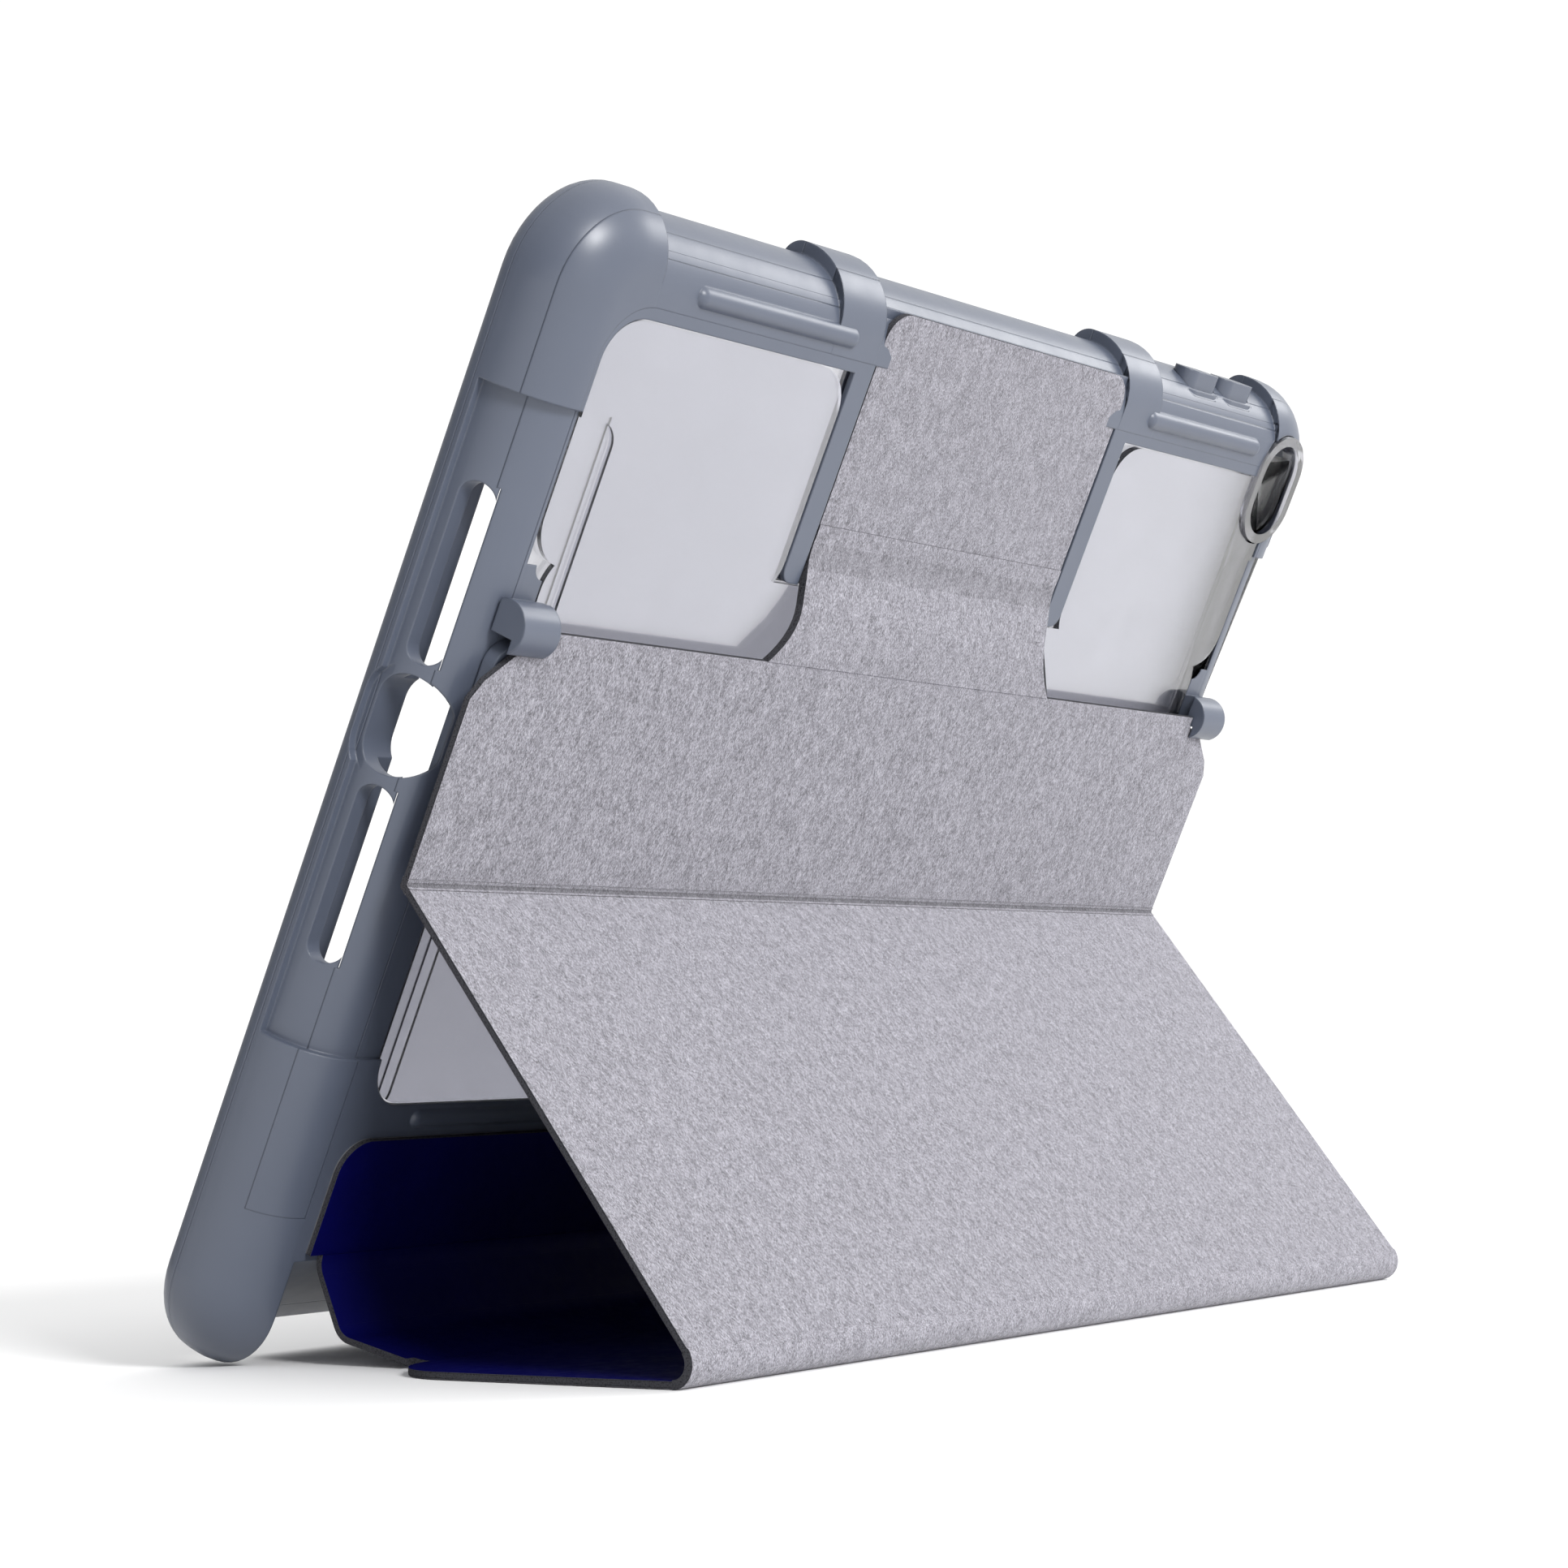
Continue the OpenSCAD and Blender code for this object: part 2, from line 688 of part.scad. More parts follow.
// Spine, in two halves
spine_split = spine_t * 0.45;
module spine_skin_layer() { layer(-spine_t / 2, -spine_t / 2 + spine_split) children(); }
module spine_lining_layer() { layer(-spine_t / 2 + spine_split, spine_t / 2) children(); }
module spine_upper_2d() { plate_2d(spine_half, crease_half, spine_upper_l - crease_half, 0, 0); }
module spine_lower_2d() { plate_2d(spine_half, crease_half, spine_lower_l - crease_half, 0, 0); }

module anchor_fold() {
    color(navy) on_cover(crease_1, -lean) fold(crease_half, upper_angle - 360 + lean, spine_t, spine_half);
}
module spine_upper_skin() { color(navy) on_cover(crease_1, upper_angle) spine_skin_layer() spine_upper_2d(); }
module spine_upper_lining() {
    color(lining_grey) on_cover(crease_1, upper_angle) spine_lining_layer() spine_upper_2d();
}
module spine_crease() {
    color(navy) on_cover(crease_2, upper_angle) fold(crease_half, lower_angle - upper_angle, spine_t, spine_half);
}
module spine_lower_skin() { color(navy) on_cover(crease_2, lower_angle) spine_skin_layer() spine_lower_2d(); }
module spine_lower_lining() {
    color(lining_grey) on_cover(crease_2, lower_angle) spine_lining_layer() spine_lower_2d();
}
module spine_ground_fold() {
    color(navy) on_cover(crease_3, lower_angle)
        fold(crease_half, 180 - lower_angle, spine_t, panel_half - ground_r);
}

// Ground panel
module ground_2d() { plate_2d(panel_half, crease_half, ground_l - ground_e, ground_r, 0); }
module ground_skin() { color(navy) on_cover(crease_3, 180) skin() ground_2d(); }
module ground_board() { color(core_grey) on_cover(crease_3, 180) board() ground_2d(); }
module ground_lining() { color(lining_grey) on_cover(crease_3, 180) lining() ground_2d(); }
module ground_fold() {
    color(lining_grey) on_cover(crease_4, 180) fold(ground_e, ground_turn, panel_t, panel_half);
}

// Prop panel
module prop_2d() { plate_2d(panel_half, ground_e, prop_l - prop_e, 0, 0); }
module prop_magnets_2d(gap) {
    mirrored() translate([panel_half - 14, prop_l / 2]) square([magnet_w - gap, magnet_l - gap], center = true);
}
module magnet_layer() { layer(-panel_t / 2 + skin_t, panel_t / 2 - lining_t - 0.15) children(); }
module prop_skin() { color(navy) on_cover(crease_4, prop_angle) skin() prop_2d(); }
module prop_board() {
    color(core_grey) on_cover(crease_4, prop_angle) difference() {
        board() prop_2d();
        magnet_layer() prop_magnets_2d(0);
    }
}
module prop_lining() { color(lining_grey) on_cover(crease_4, prop_angle) lining() prop_2d(); }
module prop_magnets() { color(steel) on_cover(crease_4, prop_angle) magnet_layer() prop_magnets_2d(0.1); }
module prop_fold() {
    color(lining_grey) on_cover(crease_5, prop_angle) fold(prop_e, prop_turn, panel_t, panel_half);
}

// Resting panel, its top corners cut to pass under the hooks
hook_side = hook_x - hook_w / 2;
module rest_2d() {
    notch_top = hook_v - hook_neck - hook_gap - rest_slide;
    difference() {
        plate_2d(panel_half, prop_e, rest_l, 0, 0);
        mirrored() polygon([[hook_side - hook_gap, rest_l + 1], [hook_side - hook_gap, notch_top],
            [hook_x, notch_top - 1], [panel_half - 2, notch_top - 7], [panel_half + 1, notch_top - 12],
            [panel_half + 1, rest_l + 1]]);
    }
}
module rest_magnets_2d(gap) {
    mirrored() translate([panel_half / 2, rest_l / 2]) square([magnet_l - gap, magnet_w - gap], center = true);
}
module rest_skin() { color(navy) on_cover(crease_5, rest_angle) skin() rest_2d(); }
module rest_board() {
    color(core_grey) on_cover(crease_5, rest_angle) difference() {
        board() rest_2d();
        magnet_layer() rest_magnets_2d(0);
    }
}
module rest_lining() { color(lining_grey) on_cover(crease_5, rest_angle) lining() rest_2d(); }
module rest_magnets() { color(steel) on_cover(crease_5, rest_angle) magnet_layer() rest_magnets_2d(0.1); }

// Strap, and the tab that closes the cover
strap_angle = rest_angle - strap_slope;
module strap_2d() { plate_2d(tab_half, strap_e_low, strap_e_low + strap_rest, 0, 0); }
module strap_lower_fold() {
    color(lining_grey) on_cover(crease_6, rest_angle) fold(strap_e_low, -strap_slope, panel_t, tab_half);
}
module strap_skin() { color(navy) on_cover(crease_6, strap_angle) layer(-panel_t / 2, 0) strap_2d(); }
module strap_lining() { color(lining_grey) on_cover(crease_6, strap_angle) layer(0, panel_t / 2) strap_2d(); }
module strap_upper_fold() {
    color(lining_grey) on_cover(crease_7, strap_angle) fold(strap_e_high, strap_slope, panel_t, tab_half);
}
module tab_2d() { plate_2d(tab_half, strap_e_high, strap_e_high + tab_l, 0, tab_r); }
module tab_magnets_2d(gap) {
    mirrored() translate([bed_half / 2, tab_l / 2 + strap_e_high])
        square([magnet_l - gap, magnet_w - gap], center = true);
}
module tab_skin() { color(navy) on_cover(crease_7, rest_angle) skin() tab_2d(); }
module tab_board() {
    color(core_grey) on_cover(crease_7, rest_angle) difference() {
        board() tab_2d();
        magnet_layer() tab_magnets_2d(0);
    }
}
module tab_lining() { color(lining_grey) on_cover(crease_7, rest_angle) lining() tab_2d(); }
module tab_magnets() { color(steel) on_cover(crease_7, rest_angle) magnet_layer() tab_magnets_2d(0.1); }

bumper_frame();
clear_back();
volume_up_button();
volume_down_button();
power_button();
tab_keepers();
anchor_glue();
anchor_board();
anchor_skin();
anchor_fold();
spine_upper_skin();
spine_upper_lining();
spine_crease();
spine_lower_skin();
spine_lower_lining();
spine_ground_fold();
ground_skin();
ground_board();
ground_lining();
ground_fold();
prop_skin();
prop_board();
prop_lining();
prop_magnets();
prop_fold();
rest_skin();
rest_board();
rest_lining();
rest_magnets();
strap_lower_fold();
strap_skin();
strap_lining();
strap_upper_fold();
tab_skin();
tab_board();
tab_lining();
tab_magnets();
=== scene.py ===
from math import cos, pi, radians, sin

import bpy
from mathutils import Matrix, Vector


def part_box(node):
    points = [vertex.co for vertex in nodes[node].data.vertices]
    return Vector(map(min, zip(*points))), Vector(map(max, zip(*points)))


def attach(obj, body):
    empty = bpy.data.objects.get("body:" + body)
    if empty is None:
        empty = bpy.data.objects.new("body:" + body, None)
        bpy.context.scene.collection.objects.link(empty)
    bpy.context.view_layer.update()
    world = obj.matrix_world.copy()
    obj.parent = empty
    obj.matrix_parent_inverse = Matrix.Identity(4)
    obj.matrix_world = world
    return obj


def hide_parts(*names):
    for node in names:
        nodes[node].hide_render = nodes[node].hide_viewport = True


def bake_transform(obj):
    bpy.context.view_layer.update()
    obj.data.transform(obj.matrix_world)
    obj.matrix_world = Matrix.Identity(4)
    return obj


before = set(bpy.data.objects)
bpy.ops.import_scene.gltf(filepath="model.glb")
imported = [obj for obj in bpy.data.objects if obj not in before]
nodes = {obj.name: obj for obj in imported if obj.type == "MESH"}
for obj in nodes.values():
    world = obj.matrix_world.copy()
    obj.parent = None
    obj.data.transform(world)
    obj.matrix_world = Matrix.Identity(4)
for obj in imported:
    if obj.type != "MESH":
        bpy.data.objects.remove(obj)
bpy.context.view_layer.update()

mm = 0.001

# ---------------------------------------------------------------------------
# Studio: a matt white paper floor in a white light tent that darkens to the
# far left. A broad key light stands behind the case, a soft box above its far
# side, and the camera low behind its short side.

camera_place = Vector((-526.02, -368.58, 49.13)) * mm
camera_azimuth = radians(-54.295)
camera_elevation = radians(-4.616)
camera_roll = radians(1.645)
camera_lens = 77.9
camera_sensor = 36
camera_near, camera_far = 0.02, 60
floor_size = 16.0
sky_strength = 1.06
tent_bright = Vector((0.62, -0.50, 0.60))
tent_fall = (-0.6, 0.8)
tent_range = (0.12, 1.18)
key_strength = 2.7
key_spread = radians(18)
key_direction = Vector((0.24, 0.86, -0.46))
box_place = (0.70, -0.38, 0.62)
box_aim = (0, 0, 0.18)
box_width, box_height, box_watts = 0.5, 0.3, 2.4
paper_white = (0.97, 0.97, 0.972, 1)
paper_roughness = 0.9

backwards = Vector((sin(camera_azimuth) * cos(camera_elevation),
                    -cos(camera_azimuth) * cos(camera_elevation), sin(camera_elevation)))
level_right = (-backwards).cross(Vector((0, 0, 1))).normalized()
level_up = backwards.cross(level_right)
right = level_right * cos(camera_roll) - level_up * sin(camera_roll)
up = level_right * sin(camera_roll) + level_up * cos(camera_roll)
lens = bpy.data.cameras.new("camera")
lens.lens = camera_lens
lens.sensor_width = camera_sensor
lens.clip_start = camera_near
lens.clip_end = camera_far
camera = bpy.data.objects.new("camera", lens)
bpy.context.scene.collection.objects.link(camera)
camera_axes = Matrix((right, up, backwards)).transposed().to_4x4()
camera.matrix_world = Matrix.Translation(camera_place) @ camera_axes
bpy.context.scene.camera = camera

sky = bpy.data.worlds.new("sky")
bpy.context.scene.world = sky
sky.use_nodes = True
tent = sky.node_tree
tent_place = tent.nodes.new("ShaderNodeTexCoord")
towards = tent.nodes.new("ShaderNodeVectorMath")
towards.operation = "DOT_PRODUCT"
towards.inputs[1].default_value = tent_bright
tent.links.new(tent_place.outputs["Generated"], towards.inputs[0])
falling = tent.nodes.new("ShaderNodeMapRange")
falling.inputs["From Min"].default_value, falling.inputs["From Max"].default_value = tent_fall
falling.inputs["To Min"].default_value, falling.inputs["To Max"].default_value = tent_range
tent.links.new(towards.outputs["Value"], falling.inputs["Value"])
seen = tent.nodes.new("ShaderNodeLightPath")
choice = tent.nodes.new("ShaderNodeMix")
choice.inputs["B"].default_value = sky_strength
tent.links.new(seen.outputs["Is Camera Ray"], choice.inputs["Factor"])
tent.links.new(falling.outputs["Result"], choice.inputs["A"])
tent.nodes["Background"].inputs["Color"].default_value = (1, 1, 1, 1)
tent.links.new(choice.outputs["Result"], tent.nodes["Background"].inputs["Strength"])
bpy.context.scene.view_settings.view_transform = "Standard"

lamp = bpy.data.lights.new("top_box", "AREA")
lamp.shape = "RECTANGLE"
lamp.size = box_width
lamp.size_y = box_height
lamp.energy = box_watts
top_box = bpy.data.objects.new("top_box", lamp)
bpy.context.scene.collection.objects.link(top_box)
top_box.location = box_place
top_box.rotation_mode = "QUATERNION"
top_box.rotation_quaternion = (Vector(box_aim) - Vector(box_place)).to_track_quat("-Z", "Y")

key = bpy.data.lights.new("key_light", "SUN")
key.energy = key_strength
key.angle = key_spread
key_light = bpy.data.objects.new("key_light", key)
bpy.context.scene.collection.objects.link(key_light)
key_light.rotation_mode = "QUATERNION"
key_light.rotation_quaternion = key_direction.to_track_quat("-Z", "Y")


def deselect():
    if bpy.context.object and bpy.context.object.mode != "OBJECT":
        bpy.ops.object.mode_set(mode="OBJECT")
    bpy.ops.object.select_all(action="DESELECT")


deselect()
bpy.ops.mesh.primitive_plane_add(size=floor_size, location=(0, 0, 0))
floor = bpy.context.object
floor.name = "floor"
paper = bpy.data.materials.new("paper")
paper.use_nodes = True
paper.node_tree.nodes["Principled BSDF"].inputs["Base Color"].default_value = paper_white
paper.node_tree.nodes["Principled BSDF"].inputs["Roughness"].default_value = paper_roughness
floor.data.materials.append(paper)

# ---------------------------------------------------------------------------
# Bumper frame and its buttons: one moulding in soft, satin, blue-grey
# thermoplastic rubber, with a fine grain from the mould and a faint parting
# line near the front. The buttons are capped in the same rubber.

lean = radians(63.7)
case_place = (0, -8.894 * mm, 100.949 * mm)
rubber_blue = (0.074, 0.087, 0.120, 1)
rubber_pale = (0.084, 0.098, 0.134, 1)
rubber_grain, grain_depth = 2600, 0.02 * mm
rubber_cloud = 18
rubber_wear = 140
rubber_shine = (0.33, 0.39)
rubber_specular = 0.6
rubber_edge = 0.45 * mm
parting_depth = 13 * mm
parting_width = 0.16 * mm
parting_strength = 0.6


def finish_of(name):
    """A new material, with its shader and the node that gives the place on the piece."""
    material = bpy.data.materials.new(name)
    material.use_nodes = True
    shader = material.node_tree.nodes["Principled BSDF"]
    place = material.node_tree.nodes.new("ShaderNodeTexCoord")
    return material, shader, place.outputs["Object"]


def turned(material, place, angle, stretch=(1, 1, 1)):
    """The place, turned about the case's length so that a pattern lies in a leaning panel."""
    mapping = material.node_tree.nodes.new("ShaderNodeMapping")
    mapping.inputs["Rotation"].default_value = (-angle, 0, 0)
    material.node_tree.links.new(place, mapping.inputs["Vector"])
    if stretch == (1, 1, 1):
        return mapping.outputs["Vector"]
    longer = material.node_tree.nodes.new("ShaderNodeMapping")
    longer.inputs["Rotation"].default_value = (0, 0, stretch[2])
    longer.inputs["Scale"].default_value = (stretch[0], stretch[1], stretch[0])
    material.node_tree.links.new(mapping.outputs["Vector"], longer.inputs["Vector"])
    return longer.outputs["Vector"]


def noise(material, place, scale, detail=3, rough=0.6):
    """A cloudy pattern from 0 to 1 over the place."""
    made = material.node_tree.nodes.new("ShaderNodeTexNoise")
    made.inputs["Scale"].default_value = scale
    made.inputs["Detail"].default_value = detail
    made.inputs["Roughness"].default_value = rough
    material.node_tree.links.new(place, made.inputs["Vector"])
    return made.outputs["Fac"]


def ramp(material, value, stops):
    """Turns a pattern into the stops' colours or grey values."""
    made = material.node_tree.nodes.new("ShaderNodeValToRGB")
    while len(made.color_ramp.elements) < len(stops):
        made.color_ramp.elements.new(0.5)
    for element, (position, colour) in zip(made.color_ramp.elements, stops):
        element.position = position
        element.color = colour if hasattr(colour, "__len__") else (colour, colour, colour, 1)
    material.node_tree.links.new(value, made.inputs["Fac"])
    return made.outputs["Color"]


def bump(material, shader, height, strength, distance):
    """Adds relief over what the shader's normal already has."""
    made = material.node_tree.nodes.new("ShaderNodeBump")
    made.inputs["Strength"].default_value = strength
    made.inputs["Distance"].default_value = distance
    material.node_tree.links.new(height, made.inputs["Height"])
    if shader.inputs["Normal"].is_linked:
        material.node_tree.links.new(shader.inputs["Normal"].links[0].from_socket, made.inputs["Normal"])
    material.node_tree.links.new(made.outputs["Normal"], shader.inputs["Normal"])


def in_case(material, place):
    """The place in the leaning case's own directions: along it, up its back, out of its back."""
    mapping = material.node_tree.nodes.new("ShaderNodeMapping")
    mapping.vector_type = "TEXTURE"
    mapping.inputs["Location"].default_value = case_place
    mapping.inputs["Rotation"].default_value = (pi - lean, 0, 0)
    material.node_tree.links.new(place, mapping.inputs["Vector"])
    return mapping.outputs["Vector"]


def sum_of(material, value, operation, *others):
    """One step of arithmetic on a pattern."""
    made = material.node_tree.nodes.new("ShaderNodeMath")
    made.operation = operation
    material.node_tree.links.new(value, made.inputs[0])
    for k, other in enumerate(others):
        if hasattr(other, "links"):
            material.node_tree.links.new(other, made.inputs[k + 1])
        else:
            made.inputs[k + 1].default_value = other
    return made.outputs[0]


rubber, shader, place = finish_of("satin_rubber")
softened = rubber.node_tree.nodes.new("ShaderNodeBevel")
softened.samples = 6
softened.inputs["Radius"].default_value = rubber_edge
rubber.node_tree.links.new(softened.outputs["Normal"], shader.inputs["Normal"])
cloud = noise(rubber, place, rubber_cloud)
rubber.node_tree.links.new(ramp(rubber, cloud, [(0.3, rubber_blue), (0.7, rubber_pale)]),
                           shader.inputs["Base Color"])
rubber.node_tree.links.new(ramp(rubber, noise(rubber, place, rubber_wear),
                                [(0.3, rubber_shine[0]), (0.7, rubber_shine[1])]),
                           shader.inputs["Roughness"])
shader.inputs["Specular IOR Level"].default_value = rubber_specular
bump(rubber, shader, noise(rubber, place, rubber_grain, 2), 0.08, grain_depth)
case_axes = rubber.node_tree.nodes.new("ShaderNodeSeparateXYZ")
rubber.node_tree.links.new(in_case(rubber, place), case_axes.inputs["Vector"])
from_parting = sum_of(rubber, sum_of(rubber, case_axes.outputs["Z"], "ADD", parting_depth), "ABSOLUTE")
bump(rubber, shader, sum_of(rubber, from_parting, "MINIMUM", parting_width), parting_strength, 1.0)

for name in ("bumper_frame", "volume_up_button", "volume_down_button", "power_button"):
    nodes[name].material_slots[0].material = rubber

# ---------------------------------------------------------------------------
# Back edge of the frame: the rubber between the rounded outside and the
# pocket, along both short sides and the top. It is moulded in one with the
# frame and covers the edge of the clear back. Its cutters are in millimetres.

case_half, case_top, case_low = 125 * mm, 92.15 * mm, 117.15 * mm
case_front = -17 * mm
plan_radius, back_radius = 17.3 * mm, 12 * mm
proud = 0.02 * mm
top_hollow_depth = 2.3 * mm
grip_hollow_depth, grip_back_depth = 1.4 * mm, 0.8 * mm
edge_smooth = radians(35)

top_hollow_ends = ((-104, -55), (-42, 42), (55, 104))
grip_hollow_ends = ((-126, -104), (104, 126))
port_outside, port_spread, port_depth = 130 * mm, 3.3 * mm, -7.15 * mm
port_bore, port_mouth = 5.4 * mm, 6.9 * mm
port_reach, mouth_reach = -116 * mm, -123.3 * mm
camera_low, camera_high = (102.8 * mm, 62.05 * mm), (115.8 * mm, 81.55 * mm)
camera_radius = 6.4 * mm
ring_room = 2.1 * mm
# Each cutter: lowest corner, highest corner, radius of its upright edges and of its back rim.
edge_cutters = (("pocket", (-120.4, -85.1, -20), (120.4, 85.1, -3.4), 10, 4),
                ("back", (-113, -120, -20), (113, 75.8, 1), 10.1, 0),
                ("front", (-130, -120, -20), (130, 95, -4.9), 0, 0),
                ("power", (113, 54, -12), (130, 72, -4.3), 0, 0),
                ("upper_speaker", (-130, 10.5, -12), (-113, 41.5, -4.35), 0, 0),
                ("lower_speaker", (-130, -41.5, -12), (-113, -10.5, -4.35), 0, 0),
                ("low", (-130, -120, -20), (130, -84.9, 1), 0, 0))
on_case = Matrix.Translation(case_place) @ Matrix.Rotation(pi - lean, 4, "X")


def round_edges(piece, chosen, radius, segments):
    """Bevels the edges between two points that the test picks."""
    deselect()
    bpy.context.view_layer.objects.active = piece
    piece.select_set(True)
    bpy.ops.object.mode_set(mode="EDIT")
    bpy.ops.mesh.select_mode(type="EDGE")
    bpy.ops.mesh.select_all(action="DESELECT")
    bpy.ops.object.mode_set(mode="OBJECT")
    points = piece.data.vertices
    for edge in piece.data.edges:
        edge.select = chosen(points[edge.vertices[0]].co, points[edge.vertices[1]].co)
    bpy.ops.object.mode_set(mode="EDIT")
    bpy.ops.mesh.bevel(offset=radius, segments=segments, affect="EDGES")
    bpy.ops.object.mode_set(mode="OBJECT")


def block(name, low, high, upright=0, back=0):
    """A box in the case's directions, its upright edges and its back rim rounded."""
    deselect()
    bpy.ops.mesh.primitive_cube_add(size=1, location=tuple((a + b) / 2 for a, b in zip(low, high)))
    piece = bpy.context.object
    piece.name = name
    piece.scale = tuple(b - a for a, b in zip(low, high))
    bpy.ops.object.transform_apply(location=True, rotation=True, scale=True)
    if upright:
        round_edges(piece, lambda a, b: abs(a.z - b.z) > 0.1 * mm, upright, 16)
    if back:
        round_edges(piece, lambda a, b: min(a.z, b.z) > high[2] - 0.001 * mm, back, 14)
    return piece


def in_mm(values):
    return tuple(value * mm for value in values)


def outer_form(side_in, top_in, back_in):
    """The frame's rounded outside, drawn in by some depth at the sides, top and back."""
    return block("outer_form", (side_in - case_half, -case_low, case_front),
                 (case_half - side_in, case_top - top_in, -back_in), plan_radius, back_radius)


def joined(pieces):
    """Makes the pieces one."""
    deselect()
    for piece in pieces:
        piece.select_set(True)
    bpy.context.view_layer.objects.active = pieces[0]
    bpy.ops.object.join()
    return pieces[0]


def carve(piece, tool, operation="DIFFERENCE"):
    """Takes the tool away from the piece, adds it, or keeps what both share."""
    carving = piece.modifiers.new("carving", "BOOLEAN")
    carving.operation = operation
    carving.solver = "EXACT"
    carving.object = tool
    deselect()
    bpy.context.view_layer.objects.active = piece
    piece.select_set(True)
    bpy.ops.object.modifier_apply(modifier="carving")
    bpy.data.objects.remove(tool)


def stand_up(piece):
    """Moves a piece made in the case's directions to its place on the leaning case."""
    piece.matrix_world = on_case
    deselect()
    bpy.context.view_layer.objects.active = piece
    piece.select_set(True)
    bpy.ops.object.transform_apply(location=True, rotation=True, scale=True)


def port_hole(radius, end):
    """The charging port's rounded hole, from outside the case to a depth."""
    ends = []
    for height in (-port_spread, port_spread):
        deselect()
        bpy.ops.mesh.primitive_cylinder_add(vertices=48, radius=radius, depth=end + port_outside,
                                            rotation=(0, pi / 2, 0),
                                            location=((end - port_outside) / 2, height, port_depth))
        ends.append(bpy.context.object)
        bpy.ops.object.transform_apply(location=True, rotation=True, scale=True)
    carve(ends[0], ends[1], "UNION")
    between = block("middle", (-port_outside, -port_spread, port_depth - radius),
                    (end, port_spread, port_depth + radius))
    carve(ends[0], between, "UNION")
    return ends[0]


def camera_block(grow):
    """The camera opening's rounded form, made larger all round."""
    return block("camera_block", (camera_low[0] - grow, camera_low[1] - grow, -4 * mm),
                 (camera_high[0] + grow, camera_high[1] + grow, 2 * mm), camera_radius + grow)


edge = outer_form(-proud, -proud, -proud)
edge.name = "frame_back_edge"
top_hollows = joined([block("hollow", (x0 * mm, 74 * mm, -18 * mm), (x1 * mm, 94 * mm, mm))
                      for x0, x1 in top_hollow_ends])
carve(top_hollows, outer_form(0, top_hollow_depth - proud, 0))
grip_hollows = joined([block("hollow", (x0 * mm, -56 * mm, -12 * mm), (x1 * mm, 57 * mm, mm))
                       for x0, x1 in grip_hollow_ends])
carve(grip_hollows, outer_form(grip_hollow_depth - proud, 0, grip_back_depth - proud))
carve(edge, top_hollows)
carve(edge, grip_hollows)
for name, low, high, upright, rim in edge_cutters:
    carve(edge, block(name, in_mm(low), in_mm(high), upright * mm, rim * mm))
carve(edge, port_hole(port_bore, port_reach))
carve(edge, port_hole(port_mouth, mouth_reach))
carve(edge, camera_block(ring_room))
edge.data.materials.clear()
edge.data.materials.append(rubber)
stand_up(edge)
deselect()
bpy.context.view_layer.objects.active = edge
edge.select_set(True)
bpy.ops.object.shade_smooth_by_angle(angle=edge_smooth)
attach(edge, "case")

# ---------------------------------------------------------------------------
# Clear back: a moulded sheet of clear polycarbonate, bonded into the frame
# behind its windows, with softened edges that catch the light. The raised
# panes and the thick ring round the camera opening are part of it.

clear_tint = (0.745, 0.748, 0.80, 1)
clear_bend = 1.58
clear_haze = (0.16, 0.20)
clear_wear = 90
clear_gloss = 0.02
clear_edge, pane_edge = 0.3 * mm, 0.4 * mm
merge_reach = 0.002 * mm
flat_within = radians(0.5)
smooth_within = radians(40)
bed_half, bed_low, bed_top, bed_radius = 112.95 * mm, -84.9 * mm, 75.75 * mm, 10.05 * mm
pane_under, pane_face, pane_radius = -1.7 * mm, -0.25 * mm, 7.7 * mm
lower_half, lower_low, lower_top = 107.1 * mm, -64.3 * mm, 34.7 * mm
side_inner, side_outer, side_low, side_top = 46.8 * mm, 112 * mm, 31.3 * mm, 73.4 * mm
step_inner, step_outer, step_low, step_top = 102.2 * mm, 125 * mm, -66 * mm, 56 * mm
step_face, step_radius = -0.75 * mm, 4 * mm
ring_half, pane_gap = 2 * mm, 2.3 * mm


def copy_of(node, name):
    """A piece made from a node's solid, its triangles joined to whole faces."""
    deselect()
    piece = bpy.data.objects.new(name, nodes[node].data.copy())
    bpy.context.scene.collection.objects.link(piece)
    bpy.context.view_layer.objects.active = piece
    piece.select_set(True)
    piece.data.materials.clear()
    bpy.ops.mesh.customdata_custom_splitnormals_clear()
    bpy.ops.object.mode_set(mode="EDIT")
    bpy.ops.mesh.select_all(action="SELECT")
    bpy.ops.mesh.remove_doubles(threshold=merge_reach)
    bpy.ops.mesh.dissolve_limited(angle_limit=flat_within)
    bpy.ops.object.mode_set(mode="OBJECT")
    return piece


def rounded(piece, width, segments=3, angle=35):
    """Softens the piece's sharp edges and shades it."""
    edges = piece.modifiers.new("edges", "BEVEL")
    edges.width = width
    edges.segments = segments
    edges.limit_method = "ANGLE"
    edges.angle_limit = radians(angle)
    edges.harden_normals = False
    deselect()
    bpy.context.view_layer.objects.active = piece
    piece.select_set(True)
    bpy.ops.object.modifier_apply(modifier="edges")
    bpy.ops.object.shade_smooth_by_angle(angle=smooth_within)
    flats = piece.modifiers.new("flats", "WEIGHTED_NORMAL")
    flats.keep_sharp = True
    bpy.ops.object.modifier_apply(modifier="flats")


